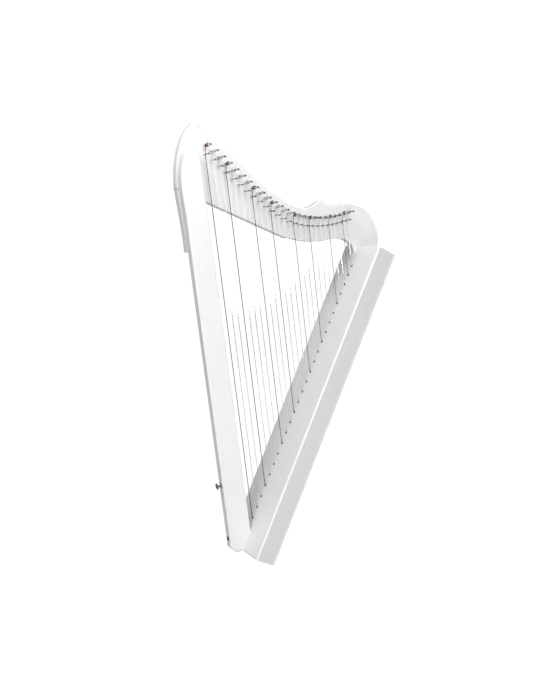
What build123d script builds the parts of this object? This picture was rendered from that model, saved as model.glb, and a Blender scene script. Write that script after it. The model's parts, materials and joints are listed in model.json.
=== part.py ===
from build123d import *
import os
from math import asin, atan2, cos, radians, sin, sqrt

# Small lever-less lap harp in its playing position, in millimetres.
# X runs along the harp's plane from the pillar to the soundbox, Y runs from the string side of the
# neck to its back, Z is up. The origin is the centre of the soundbox's bottom end face.

os.makedirs("parts", exist_ok=True)

# ---------------------------------------------------------------- driving dimensions
# soundbox
BOX_LENGTH = 716.0
BOX_WIDTH = 132.0
BOX_DEPTH = 48.0
BOX_LEAN = 24.8             # degrees from upright
SOUNDBOARD_T = 4.0
BACK_T = 4.0
SIDE_T = 10.0
BOTTOM_BLOCK = 48.0
TOP_BLOCK = 30.0
BOX_EDGE_R = 3.0

# boards of the frame
BOARD_T = 19.0
PILLAR_NEAR = -4.0          # Y of the pillar's near face
NECK_NEAR = PILLAR_NEAR + BOARD_T
NECK_FAR = NECK_NEAR + BOARD_T
PILLAR_MIDDLE = PILLAR_NEAR + BOARD_T / 2
BOARD_EDGE_R = 2.4
FOOT_LENGTH = 45.5          # of the pillar's foot on the soundboard
HEEL_LENGTH = 23.0          # of the neck's heel on the soundboard
SEAM_SHARE = 0.19           # of the neck's slanted underside, cut off by the splice
NECK_SQUARE_RIM = 160.0     # straight rims up to this length stay square: they meet the box or the splice
SPLICE_SQUARE_RIM = 60.0

# strings
STRINGS = 26
STRING_Y = 7.5
STRING_LEAN = 7.6           # degrees from upright, towards the pillar
FIRST_HOLE = 71.6           # along the soundboard from its bottom end
FIRST_GAP = 25.24           # between the first two holes
GAP_STEP = 0.118            # each gap is this much shorter than the one before
BASS_STRING_R = 0.80
TREBLE_STRING_R = 0.45
STRING_BEND_UP = 1.4        # height above the soundboard where a string leans over
STRING_BEND_R = 1.8
STRING_JOIN = 3.0           # how far a string's two ends reach into its straight stretch
STRING_REST_GAP = 0.03      # between a string and the groove it rests in
C_STRINGS = (1, 8, 15, 22)
F_STRINGS = (4, 11, 18, 25)

# bridge pins and tuning pins
BRIDGE_PIN_OUT = 20.0
BRIDGE_PIN_IN = 12.0
BRIDGE_PIN_R = 1.8
BRIDGE_GROOVE_R = 1.25
BRIDGE_GROOVE = 2.6
BRIDGE_TIP_CHAMFER = 0.5
TUNER_STEP = (3.7, 17.8)    # from a string's bridge contact to its tuning pin
TUNER_R = 2.5
TUNER_BORE_R = 2.55
TUNER_IN = 15.0
TUNER_BORE_DEPTH = 15.5
TUNER_ROUND_OUT = 16.5
TUNER_HEAD = 11.0
TUNER_HEAD_FLATS = 4.4
TUNER_HEAD_TAPER = 1.2      # degrees
TUNER_TIP_CHAMFER = 0.4
COIL_LENGTH = 5.0
COIL_GAP = 0.02             # between the windings and their pin

# grommets, rib and anchors
GROMMET_FLANGE_R = 2.5
GROMMET_FLANGE_T = 0.7
GROMMET_R = 1.8
GROMMET_BORE_R = 1.25
RIB_WIDTH = 24.0
RIB_T = 5.0
RIB_BORE_R = 1.25
ANCHOR_R = 2.6
ANCHOR_T = 4.0
ANCHOR_GAP = 0.05           # round the string in its anchor
KNOT_R = 1.6

# access holes and braces of the back
ACCESS_LENGTH = 104.0
ACCESS_WIDTH = 58.0
ACCESS_AT = (190.0, 365.0, 540.0)
BRACE_AT = (278.0, 452.0)
BRACE_WIDTH = 12.0
BRACE_T = 9.0

# fasteners
DOWEL_R = 4.0
DOWEL_AT = (16.0, 34.0)     # below the soundboard's face
DOWEL_IN_BLOCK = 18.0
DOWEL_IN_NECK = 14.0
LAP_SCREW_R = 2.0
LAP_SCREW_HEAD_R = 4.0
LAP_SCREW_HEAD_T = 2.6
LAP_SCREW_LENGTH = 33.0
LAP_SCREWS = ((-129.0, 836.0), (-137.0, 800.0), (-130.0, 735.0), (-118.0, 676.0))
FOOT_SCREW_AT = 14.0        # along the soundboard
FOOT_SCREW_R = 2.5
FOOT_SCREW_HEAD_R = 4.3
FOOT_SCREW_SINK_R = 4.6     # counterbore in the pillar's foot
FOOT_SCREW_SINK = 30.0      # long enough to leave the foot's sloping edge
FOOT_SCREW_HEAD_ROUND = 1.2
FOOT_SCREW_HEAD_T = 3.4
FOOT_SCREW_HEAD_UP = 33.0   # underside of the head above the soundboard
FOOT_SCREW_IN = 34.0        # into the box
BUTTON_Z = 160.0
REAR_BUTTON_AT = 701.0      # along the soundboard
BUTTON_HEAD_R = 7.0
BUTTON_HEAD_FROM = 7.4      # outward from the wood
BUTTON_RIM_INSET = 0.6
BUTTON_RIM_UP = (0.8, 1.5, 2.3)     # from the head's underside to the rim's start, middle and end
BUTTON_DOME_SAG = 0.3
BUTTON_NECK_R = 3.0
BUTTON_NECK_FROM = 2.4
BUTTON_BASE_R = 5.0
BUTTON_BASE_T = 1.2
BUTTON_LENGTH = 11.0
BUTTON_SINK_R = 3.4         # countersink for the screw's head
BUTTON_SINK = 1.7
BUTTON_SCREW_R = 1.7
BUTTON_SCREW_IN = 22.0

RUNNING_GAP = 0.2           # between a string and what turns beside it

# ---------------------------------------------------------------- the soundbox's own plane
# board_plane: x along the box from its bottom end, y across, z out of the soundboard's face
tilt = radians(BOX_LEAN)
box_u = Vector(sin(tilt), 0, cos(tilt))
box_out = Vector(-cos(tilt), 0, sin(tilt))
board_plane = Plane(origin=box_out * (BOX_DEPTH / 2), x_dir=box_u, z_dir=box_out)
FLOOR_OF_BOX = -BOX_DEPTH
INNER_WIDTH = BOX_WIDTH - 2 * SIDE_T
SIDE_MIDDLE = (BOX_WIDTH - SIDE_T) / 2


def board_point(along, height):
    """(X, Z) of a point in the harp's plane, from its place along and above the soundboard."""
    point = board_plane.from_local_coords((along, 0, height))
    return (point.X, point.Z)


def harp_plane(y):
    """A plane facing the viewer at this Y, whose own x and y are X and Z."""
    return Plane.XZ.offset(-y)


# ---------------------------------------------------------------- the strings' layout
# points where the strings touch the bridge pins
with BuildLine() as bridge_curve:
    Spline(
        (-95.8, 844.8),
        (-19.2, 785.2),
        (53.8, 733.5),
        (109.2, 708.4),
        (148.1, 703.6),
        (198.6, 706.5),
        (244.6, 717.6),
        (262.0, 722.0),
    )

string_up = Vector(-sin(radians(STRING_LEAN)), cos(radians(STRING_LEAN)))


def hole_along(number):
    """Place of a string's hole along the soundboard."""
    n = number - 1
    return FIRST_HOLE + FIRST_GAP * n - GAP_STEP * n * (n - 1) / 2


def string_radius(number):
    return BASS_STRING_R + (TREBLE_STRING_R - BASS_STRING_R) * (number - 1) / (STRINGS - 1)


def string_foot(number):
    """Where the string leans over, just above its grommet."""
    return board_point(hole_along(number), STRING_BEND_UP)


def bridge_contact(number):
    """Where the string's line meets the bridge curve, found by halving."""
    start = Vector(*string_foot(number))
    low, high = 0.0, 1.0
    for _ in range(40):
        middle = (low + high) / 2
        reach = (bridge_curve.line @ middle) - start
        if string_up.X * reach.Y - string_up.Y * reach.X > 0:
            low = middle
        else:
            high = middle
    contact = bridge_curve.line @ low
    return (contact.X, contact.Y)


def tuner_centre(number):
    x, z = bridge_contact(number)
    return (x + TUNER_STEP[0], z + TUNER_STEP[1])


def bridge_pin_centre(number):
    x, z = bridge_contact(number)
    return (x + BRIDGE_GROOVE_R + string_radius(number) + STRING_REST_GAP, z)


def string_end(number):
    """Where the string meets the windings: its tangent point on the left of the tuning pin."""
    x, z = bridge_contact(number)
    reach_x, reach_z = TUNER_STEP
    distance = sqrt(reach_x ** 2 + reach_z ** 2)
    radius = TUNER_R + string_radius(number) + RUNNING_GAP
    turn = atan2(reach_x, reach_z) - asin(radius / distance)
    length = sqrt(distance ** 2 - radius ** 2)
    return (x + length * sin(turn), z + length * cos(turn))


numbers = range(1, STRINGS + 1)
tuners = [tuner_centre(n) for n in numbers]
bridge_pins_at = [bridge_pin_centre(n) for n in numbers]
holes = [(hole_along(n), STRING_Y) for n in numbers]

# ---------------------------------------------------------------- outlines in the harp's plane
# neck: from the seam on its left edge over the top to the shoulder, then back along the underside,
# whose straight run ends in the seam with the splice
SEAM_OUTER = Vector(-154.0, 775.6)
UNDER_START = Vector(54.8, 692.6)
SEAM_INNER = SEAM_OUTER + (UNDER_START - SEAM_OUTER) * SEAM_SHARE
SADDLE = (140.0, 741.2)
CREST = (178.4, 756.4)
DIP = (202.5, 747.8)
neck_heel = board_point(BOX_LENGTH - HEEL_LENGTH, 0)
box_top_front = board_point(BOX_LENGTH, 0)
box_top_back = board_point(BOX_LENGTH, -BOX_DEPTH)

with BuildLine() as neck_outline:
    top_run = Line((-100.0, 893.4), (38.0, 787.4))
    under_run = Line(UNDER_START, SEAM_OUTER)
    Spline(
        SEAM_OUTER,
        (-155.3, 797.0),
        (-152.2, 836.0),
        (-142.6, 871.0),
        (-129.0, 894.0),
        (-112.5, 904.3),
        top_run @ 0,
        tangents=[(-0.17, 1.0), top_run % 0],
    )
    Spline(
        top_run @ 1,
        (78.5, 761.2),
        SADDLE,
        (166.4, 751.2),
        CREST,
        (190.0, 751.0),
        DIP,
        (242.0, 751.2),
        (284.0, 744.4),
        (320.0, 714.0),
        (333.4, 676.0),
        box_top_back,
        tangents=[top_run % 1, (-box_u.X, -box_u.Z)],
    )
    Line(box_top_back, box_top_front)
    Line(box_top_front, neck_heel)
    Spline(
        neck_heel,
        (246.0, 672.4),
        (153.0, 669.3),
        (103.4, 676.6),
        under_run @ 0,
        tangents=[(0.0, 1.0), under_run % 0],
    )

# splice: the neck layer's tail behind the pillar
with BuildLine() as splice_outline:
    Spline(
        SEAM_OUTER,
        (-149.6, 750.0),
        (-140.9, 702.0),
        (-133.6, 650.0),
        tangents=[(0.17, -1.0), (0.13, -1.0)],
    )
    Line((-133.6, 650.0), (-99.6, 654.6))
    Line((-99.6, 654.6), SEAM_INNER)
    Line(SEAM_INNER, SEAM_OUTER)

# pillar: straight edges, a swelling head and a rounded foot that sits on the soundboard
PILLAR_LEFT_LOW = (-53.4, 46.0)
PILLAR_LEFT_HIGH = (-134.2, 657.0)
PILLAR_TOP_RIGHT = (-113.4, 851.4)
foot_top = board_point(FOOT_LENGTH, 0)
foot_bottom = board_point(0, 0)

with BuildLine() as pillar_outline:
    left_run = Line(PILLAR_LEFT_LOW, PILLAR_LEFT_HIGH)
    top_end = Line((-133.0, 850.8), PILLAR_TOP_RIGHT)
    Spline(
        left_run @ 1,
        (-143.9, 730.0),
        (-152.4, 794.0),
        (-147.4, 832.0),
        top_end @ 0,
        tangents=[left_run % 1, top_end % 0],
    )
    Line(PILLAR_TOP_RIGHT, foot_top)
    Line(foot_top, foot_bottom)
    Spline(
        foot_bottom,
        (-33.0, 8.4),
        (-47.6, 18.0),
        left_run @ 0,
        tangents=[(-1.0, -0.25), left_run % 0],
    )


# ---------------------------------------------------------------- soundbox
with BuildPart() as soundboard:
    with BuildSketch(board_plane.offset(-SOUNDBOARD_T)):
        Rectangle(BOX_LENGTH, BOX_WIDTH, align=(Align.MIN, Align.CENTER))
    extrude(amount=SOUNDBOARD_T)
    fillet(soundboard.faces().sort_by(Axis((0, 0, 0), box_out))[-1].edges(), BOX_EDGE_R)
    with BuildSketch(board_plane):
        with Locations(*holes):
            Circle(GROMMET_R)
        with Locations((FOOT_SCREW_AT, PILLAR_MIDDLE)):
            Circle(FOOT_SCREW_R)
    extrude(amount=-SOUNDBOARD_T, mode=Mode.SUBTRACT)
soundboard.part.label = "soundboard"
export_step(soundboard.part, "parts/soundboard.step")

for side_name, side_y in (("side_near", -SIDE_MIDDLE), ("side_far", SIDE_MIDDLE)):
    with BuildPart() as side:
        with BuildSketch(board_plane.offset(FLOOR_OF_BOX + BACK_T)):
            with Locations((0, side_y)):
                Rectangle(BOX_LENGTH, SIDE_T, align=(Align.MIN, Align.CENTER))
        extrude(amount=BOX_DEPTH - BACK_T - SOUNDBOARD_T)
    side.part.label = side_name
    export_step(side.part, f"parts/{side_name}.step")

with BuildPart() as back_panel:
    with BuildSketch(board_plane.offset(FLOOR_OF_BOX)):
        Rectangle(BOX_LENGTH, BOX_WIDTH, align=(Align.MIN, Align.CENTER))
        with Locations(*[(at, 0) for at in ACCESS_AT]):
            SlotOverall(ACCESS_LENGTH, ACCESS_WIDTH, mode=Mode.SUBTRACT)
    extrude(amount=BACK_T)
    outer_face = back_panel.faces().sort_by(Axis((0, 0, 0), box_out))[0]
    fillet(outer_face.outer_wire().edges(), BOX_EDGE_R)
    with BuildSketch(board_plane.offset(FLOOR_OF_BOX)):
        with Locations((REAR_BUTTON_AT, 0)):
            Circle(BUTTON_SCREW_R)
    extrude(amount=BACK_T, mode=Mode.SUBTRACT)
back_panel.part.label = "back_panel"
export_step(back_panel.part, "parts/back_panel.step")

with BuildPart() as bottom_block:
    with BuildSketch(board_plane.offset(FLOOR_OF_BOX + BACK_T)):
        Rectangle(BOTTOM_BLOCK, INNER_WIDTH, align=(Align.MIN, Align.CENTER))
    extrude(amount=BOX_DEPTH - BACK_T - SOUNDBOARD_T)
    with BuildSketch(board_plane):
        with Locations((FOOT_SCREW_AT, PILLAR_MIDDLE)):
            Circle(FOOT_SCREW_R)
    extrude(amount=-FOOT_SCREW_IN, mode=Mode.SUBTRACT)
bottom_block.part.label = "bottom_block"
export_step(bottom_block.part, "parts/bottom_block.step")

dowel_y = (NECK_NEAR + NECK_FAR) / 2
top_end_plane = Plane(origin=board_plane.from_local_coords((BOX_LENGTH, 0, 0)), x_dir=(0, 1, 0), z_dir=box_u)
dowel_spots = [(dowel_y, -depth) for depth in DOWEL_AT]

with BuildPart() as top_block:
    with BuildSketch(board_plane.offset(FLOOR_OF_BOX + BACK_T)):
        with Locations((BOX_LENGTH, 0)):
            Rectangle(TOP_BLOCK, INNER_WIDTH, align=(Align.MAX, Align.CENTER))
    extrude(amount=BOX_DEPTH - BACK_T - SOUNDBOARD_T)
    with BuildSketch(top_end_plane):
        with Locations(*dowel_spots):
            Circle(DOWEL_R)
    extrude(amount=-DOWEL_IN_BLOCK, mode=Mode.SUBTRACT)
    with BuildSketch(board_plane.offset(FLOOR_OF_BOX)):
        with Locations((REAR_BUTTON_AT, 0)):
            Circle(BUTTON_SCREW_R)
    extrude(amount=BUTTON_SCREW_IN, mode=Mode.SUBTRACT)
top_block.part.label = "top_block"
export_step(top_block.part, "parts/top_block.step")

with BuildPart() as neck_dowels:
    with BuildSketch(top_end_plane.offset(-DOWEL_IN_BLOCK)):
        with Locations(*dowel_spots):
            Circle(DOWEL_R)
    extrude(amount=DOWEL_IN_BLOCK + DOWEL_IN_NECK)
neck_dowels.part.label = "neck_dowels"
export_step(neck_dowels.part, "parts/neck_dowels.step")

rib_length = BOX_LENGTH - BOTTOM_BLOCK - TOP_BLOCK
with BuildPart() as string_rib:
    with BuildSketch(board_plane.offset(-SOUNDBOARD_T - RIB_T)):
        with Locations((BOTTOM_BLOCK, STRING_Y)):
            Rectangle(rib_length, RIB_WIDTH, align=(Align.MIN, Align.CENTER))
        with Locations(*holes):
            Circle(RIB_BORE_R, mode=Mode.SUBTRACT)
    extrude(amount=RIB_T)
string_rib.part.label = "string_rib"
export_step(string_rib.part, "parts/string_rib.step")

with BuildPart() as back_braces:
    with BuildSketch(board_plane.offset(FLOOR_OF_BOX + BACK_T)):
        with Locations(*[(at, 0) for at in BRACE_AT]):
            Rectangle(BRACE_WIDTH, INNER_WIDTH)
    extrude(amount=BRACE_T)
back_braces.part.label = "back_braces"
export_step(back_braces.part, "parts/back_braces.step")

# ---------------------------------------------------------------- neck, splice and pillar
with BuildPart() as neck_board:
    with BuildSketch(harp_plane(NECK_FAR)):
        add(neck_outline.line)
        make_face()
    extrude(amount=BOARD_T)
    rims = neck_board.faces().filter_by(Axis.Y).edges()
    round_rims = [rim for rim in rims if rim.geom_type != GeomType.LINE or rim.length > NECK_SQUARE_RIM]
    fillet(round_rims, BOARD_EDGE_R)
    with BuildSketch(harp_plane(NECK_NEAR)):
        with Locations(*tuners):
            Circle(TUNER_BORE_R)
    extrude(amount=-TUNER_BORE_DEPTH, mode=Mode.SUBTRACT)
    with BuildSketch(harp_plane(NECK_NEAR)):
        with Locations(*bridge_pins_at):
            Circle(BRIDGE_PIN_R)
    extrude(amount=-BRIDGE_PIN_IN, mode=Mode.SUBTRACT)
    with BuildSketch(top_end_plane):
        with Locations(*dowel_spots):
            Circle(DOWEL_R)
    extrude(amount=DOWEL_IN_NECK, mode=Mode.SUBTRACT)
    with BuildSketch(harp_plane(NECK_FAR)):
        with Locations(*LAP_SCREWS[:2]):
            Circle(LAP_SCREW_R)
    extrude(amount=BOARD_T, mode=Mode.SUBTRACT)
    with BuildSketch(harp_plane(NECK_FAR)):
        with Locations(*LAP_SCREWS[:2]):
            Circle(LAP_SCREW_HEAD_R)
    extrude(amount=LAP_SCREW_HEAD_T, mode=Mode.SUBTRACT)
neck_board.part.label = "neck_board"
export_step(neck_board.part, "parts/neck_board.step")

with BuildPart() as neck_splice:
    with BuildSketch(harp_plane(NECK_FAR)):
        add(splice_outline.line)
        make_face()
    extrude(amount=BOARD_T)
    rims = neck_splice.faces().filter_by(Axis.Y).edges()
    fillet([rim for rim in rims if rim.length > SPLICE_SQUARE_RIM], BOARD_EDGE_R)
    with BuildSketch(harp_plane(NECK_FAR)):
        with Locations(*LAP_SCREWS[2:]):
            Circle(LAP_SCREW_R)
    extrude(amount=BOARD_T, mode=Mode.SUBTRACT)
    with BuildSketch(harp_plane(NECK_FAR)):
        with Locations(*LAP_SCREWS[2:]):
            Circle(LAP_SCREW_HEAD_R)
    extrude(amount=LAP_SCREW_HEAD_T, mode=Mode.SUBTRACT)
neck_splice.part.label = "neck_splice"
export_step(neck_splice.part, "parts/neck_splice.step")

pillar_slope = (PILLAR_LEFT_HIGH[0] - PILLAR_LEFT_LOW[0]) / (PILLAR_LEFT_HIGH[1] - PILLAR_LEFT_LOW[1])
pillar_edge_x = PILLAR_LEFT_LOW[0] + pillar_slope * (BUTTON_Z - PILLAR_LEFT_LOW[1])
pillar_edge_out = Vector(-1, 0, pillar_slope).normalized()
front_button_plane = Plane(
    origin=(pillar_edge_x, PILLAR_MIDDLE, BUTTON_Z), x_dir=(0, 1, 0), z_dir=pillar_edge_out
)
rear_button_plane = Plane(
    origin=board_plane.from_local_coords((REAR_BUTTON_AT, 0, FLOOR_OF_BOX)), x_dir=(0, 1, 0), z_dir=-box_out
)

with BuildPart() as pillar:
    with BuildSketch(harp_plane(NECK_NEAR)):
        add(pillar_outline.line)
        make_face()
    extrude(amount=BOARD_T)
    rims = pillar.faces().filter_by(Axis.Y).edges()
    fillet([rim for rim in rims if abs(rim.length - FOOT_LENGTH) > 1.0], BOARD_EDGE_R)
    with BuildSketch(harp_plane(NECK_NEAR)):
        with Locations(*LAP_SCREWS):
            Circle(LAP_SCREW_R)
    extrude(amount=LAP_SCREW_LENGTH - BOARD_T, mode=Mode.SUBTRACT)
    with BuildSketch(board_plane):
        with Locations((FOOT_SCREW_AT, PILLAR_MIDDLE)):
            Circle(FOOT_SCREW_R)
    extrude(amount=FOOT_SCREW_HEAD_UP, mode=Mode.SUBTRACT)
    with BuildSketch(board_plane.offset(FOOT_SCREW_HEAD_UP)):
        with Locations((FOOT_SCREW_AT, PILLAR_MIDDLE)):
            Circle(FOOT_SCREW_SINK_R)
    extrude(amount=FOOT_SCREW_SINK, mode=Mode.SUBTRACT)
    with BuildSketch(front_button_plane):
        Circle(BUTTON_SCREW_R)
    extrude(amount=-BUTTON_SCREW_IN, mode=Mode.SUBTRACT)
pillar.part.label = "pillar"
export_step(pillar.part, "parts/pillar.step")

# ---------------------------------------------------------------- fasteners
with BuildPart() as lap_screws:
    with BuildSketch(harp_plane(NECK_FAR)):
        with Locations(*LAP_SCREWS):
            Circle(LAP_SCREW_HEAD_R)
    extrude(amount=LAP_SCREW_HEAD_T)
    with BuildSketch(harp_plane(NECK_FAR)):
        with Locations(*LAP_SCREWS):
            Circle(LAP_SCREW_R)
    extrude(amount=LAP_SCREW_LENGTH)
lap_screws.part.label = "lap_screws"
export_step(lap_screws.part, "parts/lap_screws.step")

with BuildPart() as foot_screw:
    with BuildSketch(board_plane.offset(-FOOT_SCREW_IN)):
        with Locations((FOOT_SCREW_AT, PILLAR_MIDDLE)):
            Circle(FOOT_SCREW_R)
    extrude(amount=FOOT_SCREW_IN + FOOT_SCREW_HEAD_UP)
    with BuildSketch(board_plane.offset(FOOT_SCREW_HEAD_UP)):
        with Locations((FOOT_SCREW_AT, PILLAR_MIDDLE)):
            Circle(FOOT_SCREW_HEAD_R)
    extrude(amount=FOOT_SCREW_HEAD_T)
    fillet(foot_screw.edges().sort_by(Axis((0, 0, 0), box_out))[-1], FOOT_SCREW_HEAD_ROUND)
foot_screw.part.label = "foot_screw"
export_step(foot_screw.part, "parts/foot_screw.step")


# a strap button: wide base, waist that the strap grips, domed head countersunk for its screw
def button_profile():
    """Half section, x from the axis and y outward from the wood."""
    rim_inside, rim_middle, rim_outside = [
        (BUTTON_HEAD_R - inset, BUTTON_HEAD_FROM + rise)
        for inset, rise in zip((BUTTON_RIM_INSET, 0, BUTTON_RIM_INSET), BUTTON_RIM_UP)
    ]
    sink_edge = (BUTTON_SINK_R, BUTTON_LENGTH)
    dome_middle = ((BUTTON_HEAD_R + BUTTON_SINK_R) / 2, BUTTON_LENGTH - BUTTON_DOME_SAG)
    with BuildLine() as section:
        Polyline(
            (BUTTON_SCREW_R, 0),
            (BUTTON_BASE_R, 0),
            (BUTTON_BASE_R, BUTTON_BASE_T),
            (BUTTON_NECK_R, BUTTON_NECK_FROM),
            (BUTTON_NECK_R, BUTTON_HEAD_FROM),
            rim_inside,
        )
        ThreePointArc(rim_inside, rim_middle, rim_outside)
        ThreePointArc(rim_outside, dome_middle, sink_edge)
        Polyline(sink_edge, (BUTTON_SCREW_R, BUTTON_LENGTH - BUTTON_SINK), (BUTTON_SCREW_R, 0))
    return section.line


def section_plane(face_plane):
    """The plane of a revolved section: x away from the face plane's axis, y along that axis."""
    return Plane(origin=face_plane.origin, x_dir=face_plane.x_dir, z_dir=-face_plane.y_dir)


for button_name, face_plane in (
    ("strap_button_front", front_button_plane),
    ("strap_button_rear", rear_button_plane),
):
    with BuildPart() as button:
        with BuildSketch(section_plane(face_plane)):
            add(button_profile())
            make_face()
        revolve(axis=Axis(face_plane.origin, face_plane.z_dir))
    button.part.label = button_name
    export_step(button.part, f"parts/{button_name}.step")

with BuildPart() as button_screws:
    for face_plane in (front_button_plane, rear_button_plane):
        with BuildSketch(face_plane.offset(-BUTTON_SCREW_IN)):
            Circle(BUTTON_SCREW_R)
        extrude(amount=BUTTON_SCREW_IN + BUTTON_LENGTH - BUTTON_SINK)
        with BuildSketch(face_plane.offset(BUTTON_LENGTH - BUTTON_SINK)):
            Circle(BUTTON_SCREW_R)
        with BuildSketch(face_plane.offset(BUTTON_LENGTH)):
            Circle(BUTTON_SINK_R)
        loft()
button_screws.part.label = "button_screws"
export_step(button_screws.part, "parts/button_screws.step")

# ---------------------------------------------------------------- bridge pins
with BuildPart() as bridge_pins:
    with BuildSketch(harp_plane(NECK_NEAR + BRIDGE_PIN_IN)):
        with Locations(*bridge_pins_at):
            Circle(BRIDGE_PIN_R)
    extrude(amount=BRIDGE_PIN_IN + BRIDGE_PIN_OUT)
    tips = bridge_pins.faces().filter_by(Axis.Y).sort_by(Axis.Y)[:STRINGS]
    chamfer([edge for tip in tips for edge in tip.edges()], BRIDGE_TIP_CHAMFER)
    with BuildSketch(harp_plane(STRING_Y + BRIDGE_GROOVE / 2)):
        with Locations(*bridge_pins_at):
            Circle(2 * BRIDGE_PIN_R)
            Circle(BRIDGE_GROOVE_R, mode=Mode.SUBTRACT)
    extrude(amount=BRIDGE_GROOVE, mode=Mode.SUBTRACT)
bridge_pins.part.label = "bridge_pins"
export_step(bridge_pins.part, "parts/bridge_pins.step")

# ---------------------------------------------------------------- grommets and anchors
with BuildPart() as grommets:
    with BuildSketch(board_plane.offset(-SOUNDBOARD_T)):
        with Locations(*holes):
            Circle(GROMMET_R)
            Circle(GROMMET_BORE_R, mode=Mode.SUBTRACT)
    extrude(amount=SOUNDBOARD_T)
    with BuildSketch(board_plane):
        with Locations(*holes):
            Circle(GROMMET_FLANGE_R)
            Circle(GROMMET_BORE_R, mode=Mode.SUBTRACT)
    extrude(amount=GROMMET_FLANGE_T)
grommets.part.label = "grommets"
export_step(grommets.part, "parts/grommets.step")

anchor_top = -SOUNDBOARD_T - RIB_T
with BuildPart() as string_anchors:
    for number in numbers:
        with BuildSketch(board_plane.offset(anchor_top - ANCHOR_T)):
            with Locations(holes[number - 1]):
                Circle(ANCHOR_R)
                Circle(string_radius(number) + ANCHOR_GAP, mode=Mode.SUBTRACT)
        extrude(amount=ANCHOR_T)
string_anchors.part.label = "string_anchors"
export_step(string_anchors.part, "parts/string_anchors.step")


# ---------------------------------------------------------------- strings
# Each string is three solids that meet face to face: the straight stretch that sounds, the tail that
# goes down through the soundboard to its knot, and the end that bends over the bridge pin.
def lower_join(number):
    x, z = string_foot(number)
    return (x + string_up.X * STRING_JOIN, z + string_up.Y * STRING_JOIN)


def upper_join(number):
    x, z = bridge_contact(number)
    return (x - string_up.X * STRING_JOIN, z - string_up.Y * STRING_JOIN)


string_colours = {
    "strings_red": C_STRINGS,
    "strings_black": F_STRINGS,
    "strings_clear": [n for n in numbers if n not in C_STRINGS + F_STRINGS],
}
for colour, chosen in string_colours.items():
    with BuildPart() as strings:
        for number in chosen:
            low = Vector(*lower_join(number))
            high = Vector(*upper_join(number))
            with BuildSketch(Plane(origin=(low.X, STRING_Y, low.Y), z_dir=(string_up.X, 0, string_up.Y))):
                Circle(string_radius(number))
            extrude(amount=(high - low).length)
    strings.part.label = colour
    export_step(strings.part, f"parts/{colour}.step")

knot_plane = board_plane.offset(anchor_top - ANCHOR_T - KNOT_R)
with BuildPart() as string_tails:
    for number in numbers:
        with BuildLine(harp_plane(STRING_Y)) as path:
            FilletPolyline(
                board_point(hole_along(number), anchor_top - ANCHOR_T - KNOT_R),
                string_foot(number),
                lower_join(number),
                radius=STRING_BEND_R,
            )
        with BuildSketch(knot_plane):
            with Locations(holes[number - 1]):
                Circle(string_radius(number))
        sweep(path=path.line)
        with BuildSketch(knot_plane):
            with Locations(holes[number - 1]):
                Circle(KNOT_R)
        extrude(amount=KNOT_R)
string_tails.part.label = "string_tails"
export_step(string_tails.part, "parts/string_tails.step")

with BuildPart() as string_ends:
    for number in numbers:
        with BuildLine(harp_plane(STRING_Y)) as path:
            FilletPolyline(
                upper_join(number), bridge_contact(number), string_end(number), radius=STRING_BEND_R
            )
        with BuildSketch(Plane(origin=path.line @ 0, z_dir=path.line % 0)):
            Circle(string_radius(number))
        sweep(path=path.line)
string_ends.part.label = "string_ends"
export_step(string_ends.part, "parts/string_ends.step")

# ---------------------------------------------------------------- tuning pins with their windings
for number in numbers:
    radius = string_radius(number)
    centre = tuners[number - 1]
    coil_start = STRING_Y - radius - RUNNING_GAP
    with BuildPart() as tuning_pin:
        with BuildSketch(harp_plane(NECK_NEAR + TUNER_IN)):
            with Locations(centre):
                Circle(TUNER_R)
        extrude(amount=TUNER_IN + TUNER_ROUND_OUT)
        with BuildSketch(harp_plane(NECK_NEAR - TUNER_ROUND_OUT)):
            with Locations(centre):
                Rectangle(TUNER_HEAD_FLATS, TUNER_HEAD_FLATS)
        extrude(amount=TUNER_HEAD, taper=TUNER_HEAD_TAPER)
        tip = tuning_pin.faces().sort_by(Axis.Y)[0]
        chamfer(tip.edges(), TUNER_TIP_CHAMFER)
        with BuildSketch(harp_plane(coil_start)):
            with Locations(centre):
                Circle(TUNER_R + 2 * radius)
                Circle(TUNER_R + COIL_GAP, mode=Mode.SUBTRACT)
        extrude(amount=COIL_LENGTH)
    tuning_pin.part.label = f"tuning_pin_{number:02d}"
    export_step(tuning_pin.part, f"parts/tuning_pin_{number:02d}.step")

for number in C_STRINGS:
    reach = Vector(*bridge_contact(number)) - Vector(*string_foot(number))
    print("string", number, "sounds over", round(reach.length, 1), "mm")
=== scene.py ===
import json
from math import asin, atan2, cos, pi, radians, sin, sqrt

import bmesh
import bpy
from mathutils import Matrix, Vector


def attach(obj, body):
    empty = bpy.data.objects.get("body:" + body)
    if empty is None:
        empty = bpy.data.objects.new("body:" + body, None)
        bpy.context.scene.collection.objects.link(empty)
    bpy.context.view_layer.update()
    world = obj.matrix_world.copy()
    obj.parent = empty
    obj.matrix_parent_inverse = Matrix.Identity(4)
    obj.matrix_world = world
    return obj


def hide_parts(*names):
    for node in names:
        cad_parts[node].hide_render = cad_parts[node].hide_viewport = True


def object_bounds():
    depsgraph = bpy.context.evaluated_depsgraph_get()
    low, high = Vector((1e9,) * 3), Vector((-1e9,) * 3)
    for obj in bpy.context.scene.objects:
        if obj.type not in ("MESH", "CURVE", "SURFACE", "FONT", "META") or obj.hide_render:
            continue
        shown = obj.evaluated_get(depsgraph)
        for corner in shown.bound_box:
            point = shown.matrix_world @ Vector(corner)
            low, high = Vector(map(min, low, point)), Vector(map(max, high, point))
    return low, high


# A small white lap harp. Units are metres, in the frame of the CAD model: X from the pillar to the
# soundbox, Y from the string side to the neck's back, Z up.

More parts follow.
